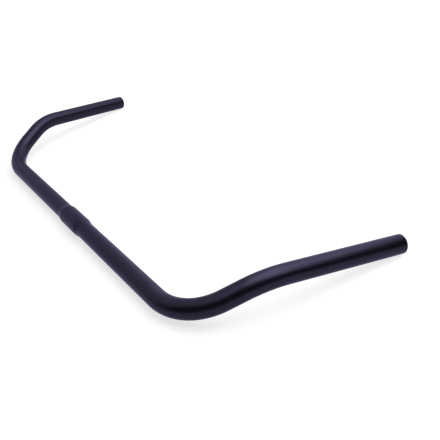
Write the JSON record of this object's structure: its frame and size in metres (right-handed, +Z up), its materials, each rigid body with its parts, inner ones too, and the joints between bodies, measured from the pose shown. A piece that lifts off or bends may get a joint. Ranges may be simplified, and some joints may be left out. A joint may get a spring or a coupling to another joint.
{
  "type": "bicycle handlebar",
  "caption": "Swept-back bicycle handlebar, one bent hollow tube with a swelled middle for the stem and a straight grip area at each end.",
  "frame": {"origin": "middle of the clamp area, on its axis", "axes": "+X to the rider's right along the clamp axis, +Y forward so that the grips point to -Y, +Z up from the flat surface that the loose bar rests on"},
  "size_m": [0.6634, 0.2575, 0.0493],
  "materials": {
    "black_anodised": "satin"
  },
  "bodies": {
    "root": {"bar": "black_anodised"}
  },
  "joints": []
}
